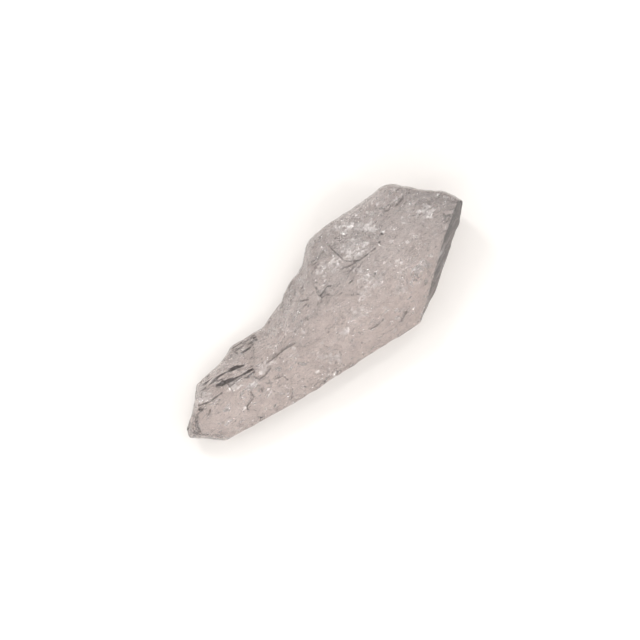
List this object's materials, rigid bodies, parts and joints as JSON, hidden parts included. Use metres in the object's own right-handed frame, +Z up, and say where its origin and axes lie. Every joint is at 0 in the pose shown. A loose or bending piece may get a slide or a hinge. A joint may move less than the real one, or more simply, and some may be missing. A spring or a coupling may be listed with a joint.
{
  "type": "rough morganite crystal",
  "caption": "Rough clear pinkish-grey beryl splinter with smooth prism faces along one edge and broken rough faces elsewhere, lying on a flat face.",
  "frame": {"origin": "middle of the stone's bounding box in plan, on the plane that it rests on", "axes": "+X along the stone's length towards its thick head end, +Z up, -Y towards the smooth prism wall"},
  "size_m": [0.0356, 0.014, 0.0088],
  "materials": {
    "morganite": "clear, part frosted"
  },
  "bodies": {
    "root": {"crystal": "morganite"}
  },
  "joints": []
}
